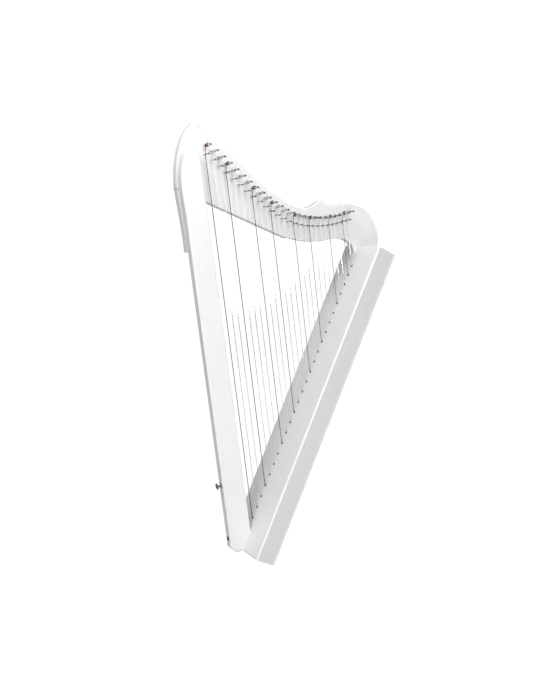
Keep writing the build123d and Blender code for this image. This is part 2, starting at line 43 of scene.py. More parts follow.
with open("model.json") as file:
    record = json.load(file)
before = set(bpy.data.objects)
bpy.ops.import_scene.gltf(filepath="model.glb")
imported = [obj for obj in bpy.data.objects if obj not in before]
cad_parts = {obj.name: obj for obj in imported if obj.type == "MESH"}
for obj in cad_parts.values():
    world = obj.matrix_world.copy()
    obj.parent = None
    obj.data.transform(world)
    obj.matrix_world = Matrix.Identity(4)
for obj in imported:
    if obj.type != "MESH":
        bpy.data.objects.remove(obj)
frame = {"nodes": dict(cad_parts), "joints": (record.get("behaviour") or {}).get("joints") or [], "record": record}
cad_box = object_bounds()
nodes = frame["nodes"]
MM = 0.001

# ---------------------------------------------------------------- driving dimensions
BOX_LEAN = radians(24.8)
BOX_LENGTH = 716 * MM
BOX_DEPTH = 48 * MM
STRINGS = 26
STRING_Y = 7.5 * MM
FIRST_HOLE = 71.6 * MM
FIRST_GAP = 25.24 * MM
GAP_STEP = 0.118 * MM
BASS_STRING_R = 0.80 * MM
TREBLE_STRING_R = 0.45 * MM
C_STRINGS = (1, 8, 15, 22)
F_STRINGS = (4, 11, 18, 25)
STRING_BEND_UP = 1.4 * MM
ANCHOR_DOWN = 9.0 * MM          # underside of the rib below the soundboard's face
ANCHOR_T = 4.0 * MM
TUNER_STEP = (3.7 * MM, 17.8 * MM)
TUNER_R = 2.5 * MM
NECK_NEAR = 15.0 * MM
NECK_FAR = 34.0 * MM
BRIDGE_GROOVE_R = 1.25 * MM
PIN_TIP_Y = -12.5 * MM
BRIDGE_TIP_Y = -5.0 * MM
# The pins' ends towards the viewer are painted nearly black: a painted dark reflection.
PIN_PAINTED_DARK = 1.0 * MM            # dark end of a tuning pin
BRIDGE_PAINTED_DARK = 1.3 * MM         # dark end of a bridge pin
COIL_LENGTH = 5.0 * MM
COIL_PITCH = 2.06               # string radii from one turn to the next
COIL_LEAD = 0.65                # extra turns' worth of travel, made early on, so that a pin turned
LEAD_TURNS = 0.4                # half way round keeps its windings off the string
FOOT_SCREW_AT = (14.0 * MM, 5.5 * MM, 33.0 * MM)     # along, across and above the soundboard
FOOT_SINK_R = 4.6 * MM
BUTTON_MIDDLE = 4.9 * MM        # from the wood to the strap button's waist, where its mount is
BUTTON_LENGTH = 11.0 * MM
SEAM_ACROSS = (0.3693, 0.0, 0.9293)     # square to the seam between neck and splice
SEAM_FROM = 663.9 * MM                  # its distance from the origin

box_along = Vector((sin(BOX_LEAN), 0, cos(BOX_LEAN)))
box_out = Vector((-cos(BOX_LEAN), 0, sin(BOX_LEAN)))
TO_VIEWER = Vector((0, -1, 0))


def board_point(along, y, height):
    """A point from its place along the soundbox, across it, and above the soundboard's face."""
    return box_along * along + box_out * (height + BOX_DEPTH / 2) + Vector((0, y, 0))


numbers = range(1, STRINGS + 1)
tuner_axes = [Vector(joint["pos_m"]) for joint in frame["joints"]]


def string_radius(number):
    return BASS_STRING_R + (TREBLE_STRING_R - BASS_STRING_R) * (number - 1) / (STRINGS - 1)


def hole_along(number):
    n = number - 1
    return FIRST_HOLE + FIRST_GAP * n - GAP_STEP * n * (n - 1) / 2


def bridge_contact(number):
    centre = tuner_axes[number - 1]
    return Vector((centre.x - TUNER_STEP[0], STRING_Y, centre.z - TUNER_STEP[1]))


def coil_start(number):
    """Where the string reaches the windings: its tangent point on the left of the tuning pin."""
    radius = TUNER_R + string_radius(number)
    distance = sqrt(TUNER_STEP[0] ** 2 + TUNER_STEP[1] ** 2)
    turn = atan2(*TUNER_STEP) - asin(radius / distance)
    length = sqrt(distance ** 2 - radius ** 2)
    contact = bridge_contact(number)
    return Vector((contact.x + length * sin(turn), STRING_Y, contact.z + length * cos(turn)))


def string_slot(number):
    if number in C_STRINGS:
        return "string_red"
    if number in F_STRINGS:
        return "string_black"
    return "string_clear"


# ---------------------------------------------------------------- mesh helpers
def new_piece(name, mesh, materials, body="frame", replaced=()):
    """Links a finished mesh as a piece, smooth except at sharp edges, and rides it on its body."""
    obj = bpy.data.objects.new(name, mesh)
    bpy.context.scene.collection.objects.link(obj)
    for material in materials:
        mesh.materials.append(material)
    if replaced:
        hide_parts(*replaced)
    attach(obj, body)
    return obj


def finish_mesh(bm, name, sharp=radians(35)):
    """Turns a bmesh into a mesh with outward normals, smooth but for edges sharper than this."""
    bmesh.ops.recalc_face_normals(bm, faces=bm.faces[:])
    for face in bm.faces:
        face.smooth = True
    for edge in bm.edges:
        if len(edge.link_faces) == 2 and edge.calc_face_angle() > sharp:
            edge.smooth = False
    mesh = bpy.data.meshes.new(name)
    bm.to_mesh(mesh)
    bm.free()
    return mesh


def bridge_rings(bm, rings, closed=False, caps=True):
    """Joins rings of equally many points into a tube, closed on itself or capped at its ends."""
    built = [[bm.verts.new(point) for point in ring] for ring in rings]
    count = len(built[0])
    pairs = list(zip(built, built[1:]))
    if closed:
        pairs.append((built[-1], built[0]))
    for low, high in pairs:
        for k in range(count):
            n = (k + 1) % count
            bm.faces.new((low[k], low[n], high[n], high[k]))
    if caps and not closed:
        bm.faces.new(built[0])
        bm.faces.new(built[-1])


def cross_axes(direction):
    """Two unit vectors square to a direction and to each other."""
    side = Vector((0, 1, 0)) if abs(direction.normalized().y) < 0.9 else Vector((1, 0, 0))
    first = direction.cross(side).normalized()
    return first, direction.cross(first).normalized()


def add_lathe(bm, origin, direction, profile, segments=32):
    """A turned solid. The profile's points are (radius, distance along the direction)."""
    direction = direction.normalized()
    first, second = cross_axes(direction)
    rings = []
    for radius, along in profile:
        centre = origin + direction * along
        rings.append([
            centre + (first * cos(2 * pi * k / segments) + second * sin(2 * pi * k / segments)) * radius
            for k in range(segments)
        ])
    bridge_rings(bm, rings)


def add_tube(bm, points, radius, sides=10, closed=False):
    """A round tube along points, its rings carried along without twist."""
    count = len(points)
    rings = []
    across = None
    for k, point in enumerate(points):
        before = points[k - 1] if k or closed else point
        after = points[(k + 1) % count] if k + 1 < count or closed else point
        ahead = (after - before).normalized()
        if across is None:
            across = cross_axes(ahead)[0]
        across = (across - ahead * across.dot(ahead)).normalized()
        other = ahead.cross(across)
        rings.append([
            point + (across * cos(2 * pi * s / sides) + other * sin(2 * pi * s / sides)) * radius
            for s in range(sides)
        ])
    bridge_rings(bm, rings, closed=closed)


def rounded_corner(before, corner, after, radius, steps=6):
    """Points of the arc that rounds a corner of a path."""
    back = (before - corner).normalized()
    ahead = (after - corner).normalized()
    half = back.angle(ahead) / 2
    reach = radius / max(sin(half), 0.05) * cos(half)
    start, end = corner + back * reach, corner + ahead * reach
    points = []
    for k in range(steps + 1):
        t = k / steps
        points.append(start * (1 - t) ** 2 + corner * 2 * t * (1 - t) + end * t ** 2)
    return points


def cut(obj, cutter):
    """Subtracts one mesh object from another and removes the cutter."""
    modifier = obj.modifiers.new("cut", "BOOLEAN")
    modifier.operation = "DIFFERENCE"
    modifier.solver = "EXACT"
    modifier.object = cutter
    bpy.context.view_layer.update()
    cut_mesh = bpy.data.meshes.new_from_object(obj.evaluated_get(bpy.context.evaluated_depsgraph_get()))
    obj.modifiers.clear()
    obj.data = cut_mesh
    bpy.data.objects.remove(cutter)


# ---------------------------------------------------------------- material helpers
def new_material(name):
    material = bpy.data.materials.new(name)
    material.use_nodes = True
    return material, material.node_tree.nodes, material.node_tree.links


def noise_factor(tree_nodes, links, scale, detail=4.0, stretch=(1, 1, 1), turn=(0, 0, 0)):
    """A noise field in the object's own metres, stretched along turned axes."""
    place = tree_nodes.new("ShaderNodeTexCoord")
    mapping = tree_nodes.new("ShaderNodeMapping")
    mapping.inputs["Scale"].default_value = stretch
    mapping.inputs["Rotation"].default_value = turn
    noise = tree_nodes.new("ShaderNodeTexNoise")
    noise.inputs["Scale"].default_value = scale
    noise.inputs["Detail"].default_value = detail
    links.new(place.outputs["Object"], mapping.inputs["Vector"])
    links.new(mapping.outputs["Vector"], noise.inputs["Vector"])
    return noise.outputs["Fac"]


def ramp(tree_nodes, links, factor, low, high, start=0.3, end=0.7):
    """A colour between two, as the factor goes from start to end."""
    node = tree_nodes.new("ShaderNodeValToRGB")
    node.color_ramp.elements[0].position = start
    node.color_ramp.elements[0].color = (*low, 1)
    node.color_ramp.elements[1].position = end
    node.color_ramp.elements[1].color = (*high, 1)
    links.new(factor, node.inputs["Fac"])
    return node.outputs["Color"]


def span(tree_nodes, links, factor, low, high):
    """A number between two, as the factor goes from 0.25 to 0.75."""
    node = tree_nodes.new("ShaderNodeMapRange")
    node.inputs["From Min"].default_value = 0.25
    node.inputs["From Max"].default_value = 0.75
    node.inputs["To Min"].default_value = low
    node.inputs["To Max"].default_value = high
    links.new(factor, node.inputs["Value"])
    return node.outputs["Result"]


def add_bump(tree_nodes, links, factor, strength, distance, under=None):
    bump = tree_nodes.new("ShaderNodeBump")
    bump.inputs["Strength"].default_value = strength
    bump.inputs["Distance"].default_value = distance
    links.new(factor, bump.inputs["Height"])
    if under is not None:
        links.new(under, bump.inputs["Normal"])
    return bump.outputs["Normal"]


def mix_colours(tree_nodes, links, factor, first, second):
    node = tree_nodes.new("ShaderNodeMix")
    node.data_type = "RGBA"
    links.new(factor, node.inputs["Factor"])
    links.new(first, node.inputs["A"])
    links.new(second, node.inputs["B"])
    return node.outputs["Result"]


def place_along(tree_nodes, links, direction):
    """How far a point of the object lies along a direction, in metres."""
    place = tree_nodes.new("ShaderNodeTexCoord")
    node = tree_nodes.new("ShaderNodeVectorMath")
    node.operation = "DOT_PRODUCT"
    node.inputs[1].default_value = direction
    links.new(place.outputs["Object"], node.inputs[0])
    return node.outputs["Value"]


def step_up(tree_nodes, links, value, start, end):
    """0 up to start, 1 from end, smooth between; start may be the larger."""
    node = tree_nodes.new("ShaderNodeMapRange")
    node.interpolation_type = "SMOOTHSTEP"
    node.inputs["From Min"].default_value = start
    node.inputs["From Max"].default_value = end
    links.new(value, node.inputs["Value"])
    return node.outputs["Result"]


def plain_colour(tree_nodes, colour):
    node = tree_nodes.new("ShaderNodeRGB")
    node.outputs[0].default_value = (*colour, 1)
    return node.outputs[0]


def off_middle(tree_nodes, links, value, middle):
    """How far a value is from a middle one."""
    shift = tree_nodes.new("ShaderNodeMath")
    shift.operation = "SUBTRACT"
    shift.inputs[1].default_value = middle
    links.new(value, shift.inputs[0])
    size = tree_nodes.new("ShaderNodeMath")
    size.operation = "ABSOLUTE"
    links.new(shift.outputs[0], size.inputs[0])
    return size.outputs[0]


def off_axis(tree_nodes, links, point, direction):
    """How far a point of the object is from a line, in metres."""
    place = tree_nodes.new("ShaderNodeTexCoord")
    shift = tree_nodes.new("ShaderNodeVectorMath")
    shift.operation = "SUBTRACT"
    shift.inputs[1].default_value = point
    across = tree_nodes.new("ShaderNodeVectorMath")
    across.operation = "CROSS_PRODUCT"
    across.inputs[1].default_value = direction
    length = tree_nodes.new("ShaderNodeVectorMath")
    length.operation = "LENGTH"
    links.new(place.outputs["Object"], shift.inputs[0])
    links.new(shift.outputs["Vector"], across.inputs[0])
    links.new(across.outputs["Vector"], length.inputs[0])
    return length.outputs["Value"]


# ---------------------------------------------------------------- materials
def lacquer(name, turn, painted_shade=1.0, seam=None, bore=None):
    """White satin lacquer over close-grained wood whose grain runs along the turned Z axis.

    A seam is a plane, as its normal and distance, along which the lacquer has a fine dark line.
    Painted shade scales the colour down, to paint the shade that falls on a face.
    A bore is a hole's axis, as a point and a direction, and a radius within which the wood is bare
    and painted a darker brown than bare wood, as painted shade for the inside of the hole.
    """
    material, tree, links = new_material(name)
    shader = tree["Principled BSDF"]
    cloud = noise_factor(tree, links, 9.0, 3.0)
    grain = noise_factor(tree, links, 55.0, 6.0, (6.0, 6.0, 0.35), turn)
    pores = noise_factor(tree, links, 420.0, 2.0, (3.0, 3.0, 0.12), turn)
    coat_orange = noise_factor(tree, links, 900.0, 1.0)
    full, dull, warm = 0.73 * painted_shade, 0.705 * painted_shade, 0.68 * painted_shade
    tone = ramp(tree, links, cloud, (dull, dull, dull * 0.995), (full, full, full))
    worn = ramp(tree, links, grain, (warm, warm, warm * 0.99), (full, full, full), 0.28, 0.5)
    colour = mix_colours(tree, links, grain, worn, tone)
    if seam is not None:
        gap = off_middle(tree, links, place_along(tree, links, seam[0]), seam[1])
        line = step_up(tree, links, gap, 0.9 * MM, 0.4 * MM)
        colour = mix_colours(tree, links, line, colour, plain_colour(tree, (0.16, 0.16, 0.17)))
    if bore is not None:
        # Bare wood inside the bore, painted darker than bare wood: painted shade for the hole.
        bore_painted_shade = step_up(tree, links, off_axis(tree, links, bore[0], bore[1]), bore[2] + 0.1 * MM, bore[2])
        colour = mix_colours(tree, links, bore_painted_shade, colour, plain_colour(tree, (0.10, 0.07, 0.05)))
    links.new(colour, shader.inputs["Base Color"])
    links.new(span(tree, links, cloud, 0.30, 0.42), shader.inputs["Roughness"])
    shader.inputs["Coat Weight"].default_value = 0.25
    shader.inputs["Coat Roughness"].default_value = 0.18
    shader.inputs["Specular IOR Level"].default_value = 0.45
    normal = add_bump(tree, links, grain, 0.10, 0.0004)
    normal = add_bump(tree, links, pores, 0.06, 0.0002, normal)
    normal = add_bump(tree, links, coat_orange, 0.03, 0.0001, normal)
    links.new(normal, shader.inputs["Normal"])
    return material


def bare_wood(name, turn, white_ends=False):
    """Sanded hardwood: streaks of brown along the grain with fine dark pores.

    White ends: what shows at the two ends of the soundbox is lacquered with it.
    """
    material, tree, links = new_material(name)
    shader = tree["Principled BSDF"]
    streak = noise_factor(tree, links, 40.0, 7.0, (4.0, 4.0, 0.25), turn)
    pores = noise_factor(tree, links, 500.0, 3.0, (3.0, 3.0, 0.08), turn)
    light = ramp(tree, links, streak, (0.46, 0.30, 0.17), (0.66, 0.49, 0.31), 0.3, 0.7)
    dark = ramp(tree, links, streak, (0.30, 0.18, 0.09), (0.50, 0.34, 0.20), 0.3, 0.7)
    colour = mix_colours(tree, links, pores, dark, light)
    if white_ends:
        reach = off_middle(tree, links, place_along(tree, links, box_along), BOX_LENGTH / 2)
        lacquered = step_up(tree, links, reach, BOX_LENGTH / 2 - 0.6 * MM, BOX_LENGTH / 2 - 0.3 * MM)
        colour = mix_colours(tree, links, lacquered, colour, plain_colour(tree, (0.71, 0.71, 0.705)))
    links.new(colour, shader.inputs["Base Color"])
    links.new(span(tree, links, pores, 0.65, 0.5), shader.inputs["Roughness"])
    normal = add_bump(tree, links, streak, 0.15, 0.0004)
    links.new(add_bump(tree, links, pores, 0.2, 0.0002, normal), shader.inputs["Normal"])
    return material


def metal(name, low, high, roughness, scratch=(1.0, 30.0, 1.0), strength=0.05, painted_dark_from=None):
    """Plated or polished metal with fine turning marks and slight tarnish.

    Painted dark from: the Y towards the viewer beyond which the metal is painted nearly black, a painted dark
    reflection.
    """
    material, tree, links = new_material(name)
    shader = tree["Principled BSDF"]
    tarnish = noise_factor(tree, links, 160.0, 4.0)
    marks = noise_factor(tree, links, 700.0, 2.0, scratch)
    colour = ramp(tree, links, tarnish, low, high, 0.35, 0.65)
    if painted_dark_from is not None:
        # Painted reflection: the end towards the viewer is painted nearly black for the dark it reflects.
        reach = place_along(tree, links, TO_VIEWER)
        painted_dark_end = step_up(tree, links, reach, -painted_dark_from - 0.4 * MM, -painted_dark_from + 0.4 * MM)
        colour = mix_colours(tree, links, painted_dark_end, colour, plain_colour(tree, (0.085, 0.085, 0.095)))
    links.new(colour, shader.inputs["Base Color"])
    shader.inputs["Metallic"].default_value = 1.0
    links.new(span(tree, links, tarnish, *roughness), shader.inputs["Roughness"])
    links.new(add_bump(tree, links, marks, strength, 0.0001), shader.inputs["Normal"])
    return material


def nylon(name, low, high, transmission, roughness):
    """Drawn monofilament: even colour with faint long marks and a soft gloss."""
    material, tree, links = new_material(name)
    shader = tree["Principled BSDF"]
    tint = noise_factor(tree, links, 35.0, 3.0)
    marks = noise_factor(tree, links, 1500.0, 2.0, (1.0, 1.0, 0.1))
    links.new(ramp(tree, links, tint, low, high, 0.3, 0.7), shader.inputs["Base Color"])
    links.new(span(tree, links, marks, *roughness), shader.inputs["Roughness"])
    shader.inputs["IOR"].default_value = 1.53
    shader.inputs["Transmission Weight"].default_value = transmission
    links.new(add_bump(tree, links, marks, 0.04, 0.0001), shader.inputs["Normal"])
    return material


def matte_plastic(name, low, high):
    material, tree, links = new_material(name)
    shader = tree["Principled BSDF"]
    mottle = noise_factor(tree, links, 300.0, 4.0)
    links.new(ramp(tree, links, mottle, low, high), shader.inputs["Base Color"])
    links.new(span(tree, links, mottle, 0.5, 0.65), shader.inputs["Roughness"])
    links.new(add_bump(tree, links, mottle, 0.08, 0.0001), shader.inputs["Normal"])
    return material


BOX_TURN = (0, -BOX_LEAN, 0)
PILLAR_TURN = (0, radians(7.6), 0)
NECK_TURN = (0, radians(60), 0)
lacquer_box = lacquer("lacquer_box", BOX_TURN)
# The box's sides take the lacquer at 0.8 of its colour: painted shade for the shade that falls on them.
lacquer_side_painted_shade = lacquer("lacquer_side_painted_shade", BOX_TURN, painted_shade=0.8)
# The pillar's foot-screw bore is bare wood with painted shade.
lacquer_pillar = lacquer("lacquer_pillar", PILLAR_TURN,
                         bore=(board_point(*FOOT_SCREW_AT), box_out, FOOT_SINK_R + 0.1 * MM))
lacquer_neck = lacquer("lacquer_neck", NECK_TURN)
lacquer_splice = lacquer("lacquer_splice", PILLAR_TURN, seam=(SEAM_ACROSS, SEAM_FROM))
wood_box = bare_wood("bare_wood_box", BOX_TURN)
wood_cross = bare_wood("bare_wood_cross", (radians(90), 0, 0))
wood_block = bare_wood("bare_wood_block", (radians(90), 0, 0), white_ends=True)
steel = metal("pin_steel", (0.62, 0.62, 0.63), (0.78, 0.78, 0.79), (0.20, 0.32),
              painted_dark_from=PIN_TIP_Y + PIN_PAINTED_DARK)
bridge_steel = metal("bridge_steel", (0.55, 0.55, 0.56), (0.72, 0.72, 0.73), (0.24, 0.36),
                     painted_dark_from=BRIDGE_TIP_Y + BRIDGE_PAINTED_DARK)
screw_steel = metal("screw_steel", (0.16, 0.16, 0.17), (0.30, 0.30, 0.31), (0.35, 0.5))
# Painted reflection: the buttons' chrome gets a dark base colour for the dark surroundings it reflects.
button_metal_painted_dark = metal("button_chrome", (0.17, 0.17, 0.18), (0.32, 0.32, 0.33), (0.06, 0.12), strength=0.02)
bronze = metal("grommet_bronze", (0.05, 0.033, 0.024), (0.10, 0.066, 0.045), (0.3, 0.45))
anchor_nylon = matte_plastic("anchor_plastic", (0.70, 0.68, 0.62), (0.78, 0.76, 0.70))
string_materials = {
    "string_red": nylon("string_red", (0.075, 0.006, 0.010), (0.12, 0.010, 0.016), 0.0, (0.3, 0.4)),
    "string_black": nylon("string_black", (0.006, 0.006, 0.008), (0.012, 0.012, 0.016), 0.0, (0.3, 0.4)),
    "string_clear": nylon("string_clear", (0.92, 0.92, 0.925), (0.97, 0.97, 0.97), 0.93, (0.06, 0.12)),
}

cad_materials = {
    "soundboard": lacquer_box,
    "side_near": lacquer_side_painted_shade,
    "side_far": lacquer_side_painted_shade,
    "back_panel": lacquer_box,
    "bottom_block": wood_block,
    "top_block": wood_block,
    "neck_dowels": wood_box,
    "string_rib": wood_box,
    "back_braces": wood_cross,
    "neck_board": lacquer_neck,
    "neck_splice": lacquer_splice,
    "pillar": lacquer_pillar,
}
for node_name, material in cad_materials.items():
    nodes[node_name].data.materials.clear()
    nodes[node_name].data.materials.append(material)


# ---------------------------------------------------------------- strings
def string_path(number):
    """Knot, grommet and bridge pin, then the tangent to the windings, with rounded bends."""
    along = hole_along(number)
    knot = board_point(along, STRING_Y, -ANCHOR_DOWN - ANCHOR_T)
    foot = board_point(along, STRING_Y, STRING_BEND_UP)
    contact = bridge_contact(number)
    end = coil_start(number)
    lower = rounded_corner(knot, foot, contact, 1.5 * MM)
    upper = rounded_corner(foot, contact, end, 2.0 * MM)
    straight = [lower[-1].lerp(upper[0], k / 12) for k in range(1, 12)]
    return [knot] + lower + straight + upper + [end]


def knot_loop(number, size=0.5 * MM, steps=36):
    """An overhand knot drawn tight against the anchor's underside."""
    centre = board_point(hole_along(number), STRING_Y, -ANCHOR_DOWN - ANCHOR_T - 0.8 * MM)
    across = Vector((0, 1, 0))
    points = []
    for k in range(steps):
        t = 2 * pi * k / steps
        a = sin(t) + 2 * sin(2 * t)
        b = cos(t) - 2 * cos(2 * t)
        points.append(centre + (box_along * a + across * b + box_out * -sin(3 * t)) * size)
    return points


def build_strings(slot_name, replaced):
    bm = bmesh.new()
    for number in numbers:
        if string_slot(number) != slot_name:
            continue
        radius = string_radius(number)
        add_tube(bm, string_path(number), radius)
        add_tube(bm, knot_loop(number), radius * 0.8, sides=8, closed=True)
    mesh = finish_mesh(bm, slot_name + "s")
    new_piece(slot_name + "s", mesh, [string_materials[slot_name]], replaced=replaced)


build_strings("string_red", ("strings_red",))
build_strings("string_black", ("strings_black",))
build_strings("string_clear", ("strings_clear", "string_tails", "string_ends"))


# ---------------------------------------------------------------- tuning pins
def pin_section(centre, y, half, power, sides=32):
    """A ring round the pin's axis: a circle at power 2, nearer a square with rounder corners above."""
    ring = []
    for k in range(sides):
        a = 2 * pi * (k + 0.5) / sides
        c, s = cos(a), sin(a)
        reach = half / (abs(c) ** power + abs(s) ** power) ** (1 / power)
        ring.append(Vector((centre.x + c * reach, y, centre.z + s * reach)))
    return ring


def pin_stations():
    """(y, half width, squareness) from the wood out to the tip."""
    stations = [(29.0 * MM, 2.0 * MM, 2), (28.0 * MM, TUNER_R, 2)]
    y = NECK_NEAR + 1.0 * MM
    for _ in range(4):
        stations += [(y, TUNER_R, 2), (y - 0.25 * MM, TUNER_R - 0.12 * MM, 2)]
        y -= 0.5 * MM
    stations += [(y, TUNER_R, 2), (3.0 * MM, TUNER_R, 2), (0.3 * MM, TUNER_R, 2)]
    stations += [(-0.6 * MM, TUNER_R * 0.97, 2.2), (-1.5 * MM, 2.25 * MM, 4.5), (-2.3 * MM, 2.15 * MM, 9)]
    stations += [(-11.6 * MM, 1.98 * MM, 9), (-12.1 * MM, 1.9 * MM, 6)]
    stations += [(-12.4 * MM, 1.65 * MM, 4), (PIN_TIP_Y, 1.2 * MM, 3)]
    return stations


def build_tuning_pin(number):
    centre = tuner_axes[number - 1]
    bm = bmesh.new()
    bridge_rings(bm, [pin_section(centre, *station) for station in pin_stations()])
    mesh = finish_mesh(bm, f"pin_{number:02d}", radians(28))
    body = f"tuner_{number:02d}"
    new_piece(f"pin_{number:02d}", mesh, [steel], body, (f"tuning_pin_{number:02d}",))


def build_winding(number):
    """The string's coil on its pin, wound towards the viewer, and its end through the pin's eye."""
    centre = tuner_axes[number - 1]
    radius = string_radius(number)
    start = coil_start(number)
    coil_r = TUNER_R + radius
    begin = atan2(start.z - centre.z, start.x - centre.x)
    pitch = COIL_PITCH * radius
    coil_turns = COIL_LENGTH / pitch - COIL_LEAD
    steps = int(coil_turns * 28)
    points = []
    for k in range(steps + 1):
        turns = coil_turns * k / steps
        a = begin - 2 * pi * turns
        travel = turns + COIL_LEAD * min(1.0, turns / LEAD_TURNS)
        y = STRING_Y - pitch * travel - radius * 0.2
        points.append(Vector((centre.x + coil_r * cos(a), y, centre.z + coil_r * sin(a))))
    a = begin - 2 * pi * coil_turns
    inward = Vector((-cos(a), 0, -sin(a)))
    last = points[-1]
    points.append(last + inward * coil_r * 0.5 + TO_VIEWER * radius * 1.6)
    points.append(last + inward * (coil_r * 2 + 1.2 * MM) + TO_VIEWER * radius * 2.2)
    bm = bmesh.new()
    add_tube(bm, points, radius, sides=10)
    slot_name = string_slot(number)
    mesh = finish_mesh(bm, f"winding_{number:02d}")
    new_piece(f"winding_{number:02d}", mesh, [string_materials[slot_name]], f"tuner_{number:02d}")


for number in numbers:
    build_tuning_pin(number)
    build_winding(number)


# ---------------------------------------------------------------- bridge pins
def bridge_pin_profile(number):
    """(radius, distance out from the wood's face) of a grooved pin with a rounded tip."""
    groove = NECK_NEAR - STRING_Y
    lip = 1.3 * MM
    r = 1.8 * MM
    tip = NECK_NEAR - BRIDGE_TIP_Y
    return [
        (1.5 * MM, -12.0 * MM),
        (r, -11.0 * MM),
        (r, 0.0),
        (2.15 * MM, 0.0),
        (2.15 * MM, 0.5 * MM),
        (r, 0.8 * MM),
        (r, groove - lip - 0.5 * MM),
        (r - 0.25 * MM, groove - lip),
        (BRIDGE_GROOVE_R, groove - 0.5 * lip),
        (BRIDGE_GROOVE_R, groove + 0.5 * lip),
        (r - 0.25 * MM, groove + lip),
        (r, groove + lip + 0.5 * MM),
        (r, tip - 1.2 * MM),
        (r * 0.92, tip - 0.6 * MM),
        (r * 0.68, tip - 0.18 * MM),
        (r * 0.3, tip),
    ]


bm = bmesh.new()
for number in numbers:
    contact = bridge_contact(number)
    offset = BRIDGE_GROOVE_R + string_radius(number) + 0.03 * MM
    foot = Vector((contact.x + offset, NECK_NEAR, contact.z))
    add_lathe(bm, foot, TO_VIEWER, bridge_pin_profile(number), 24)
new_piece("bridge_pin_set", finish_mesh(bm, "bridge_pin_set", radians(40)), [bridge_steel],
          replaced=("bridge_pins",))

# ---------------------------------------------------------------- grommets and anchors
GROMMET_PROFILE = [
    (1.25 * MM, -4.0 * MM),
    (1.8 * MM, -4.0 * MM),
    (1.8 * MM, 0.0),
    (2.45 * MM, 0.0),
    (2.5 * MM, 0.2 * MM),
    (2.42 * MM, 0.45 * MM),
    (2.2 * MM, 0.64 * MM),
    (1.9 * MM, 0.7 * MM),
    (1.6 * MM, 0.62 * MM),
    (1.35 * MM, 0.35 * MM),
    (1.25 * MM, -0.2 * MM),
]
ANCHOR_PROFILE = [
    (0.75 * MM, 0.0),
    (2.3 * MM, 0.0),
    (2.6 * MM, 0.3 * MM),
    (2.6 * MM, 1.0 * MM),
    (1.9 * MM, 1.6 * MM),
    (1.9 * MM, 2.6 * MM),
    (2.4 * MM, 3.1 * MM),
    (2.4 * MM, 3.7 * MM),
    (2.1 * MM, 4.0 * MM),
    (0.75 * MM, 4.0 * MM),
]


def add_ring(bm, origin, direction, profile, segments=24):
    """A turned ring: the profile closes on itself."""
    direction = direction.normalized()
    first, second = cross_axes(direction)
    rings = []
    for k in range(segments):
        a = 2 * pi * k / segments
        outward = first * cos(a) + second * sin(a)
        rings.append([origin + outward * radius + direction * along for radius, along in profile])
    bridge_rings(bm, rings, closed=True)


def build_ring_set(name, depth, direction, profile, material, replaced):
    bm = bmesh.new()
    for number in numbers:
        add_ring(bm, board_point(hole_along(number), STRING_Y, depth), direction, profile)
    new_piece(name, finish_mesh(bm, name, radians(40)), [material], replaced=(replaced,))


build_ring_set("grommet_set", 0.0, box_out, GROMMET_PROFILE, bronze, "grommets")
build_ring_set("anchor_set", -ANCHOR_DOWN, -box_out, ANCHOR_PROFILE, anchor_nylon,
               "string_anchors")


# ---------------------------------------------------------------- screws and strap buttons
def cross_cutter(origin, direction, length, width, depth):
    """A cross-shaped cutter for a screw's recess."""
    first, second = cross_axes(direction)
    bm = bmesh.new()
    rings = []
    for step, scale in ((-depth, 0.45), (depth, 1.0)):
        reach = length * scale
        outline = [(reach, -width), (reach, width), (width, width), (width, reach)]
        outline += [(-width, reach), (-width, width), (-reach, width), (-reach, -width)]
        outline += [(-width, -width), (-width, -reach), (width, -reach), (width, -width)]
        rings.append([origin + direction * step + first * a + second * b for a, b in outline])
    bridge_rings(bm, rings)
    obj = bpy.data.objects.new("cutter", finish_mesh(bm, "cutter"))
    bpy.context.scene.collection.objects.link(obj)
    return obj


def build_screw(name, origin, direction, profile, recess, material, replaced=()):
    """A turned screw with a cross recess; the profile's origin is the middle of its head's top."""
    bm = bmesh.new()
    add_lathe(bm, origin, direction, profile)
    screw = bpy.data.objects.new("screw", finish_mesh(bm, name, radians(30)))
    bpy.context.scene.collection.objects.link(screw)
    cut(screw, cross_cutter(origin, direction, *recess))
    mesh = screw.data
    bpy.data.objects.remove(screw)
    new_piece(name, mesh, [material], replaced=replaced)


def node_spots(node):
    """Middles of a node's separate solids, found by gathering its joined vertices."""
    bm = bmesh.new()
    bm.from_mesh(nodes[node].data)
    bmesh.ops.remove_doubles(bm, verts=bm.verts[:], dist=1e-6)
    left = set(bm.verts)
    spots = []
    while left:
        queue = [left.pop()]
        island = [queue[0]]
        while queue:
            for edge in queue.pop().link_edges:
                for vert in edge.verts:
                    if vert in left:
                        left.remove(vert)
                        queue.append(vert)
                        island.append(vert)
        low = Vector([min(v.co[k] for v in island) for k in range(3)])
        high = Vector([max(v.co[k] for v in island) for k in range(3)])
        spots.append((low + high) / 2)
    bm.free()
    return spots


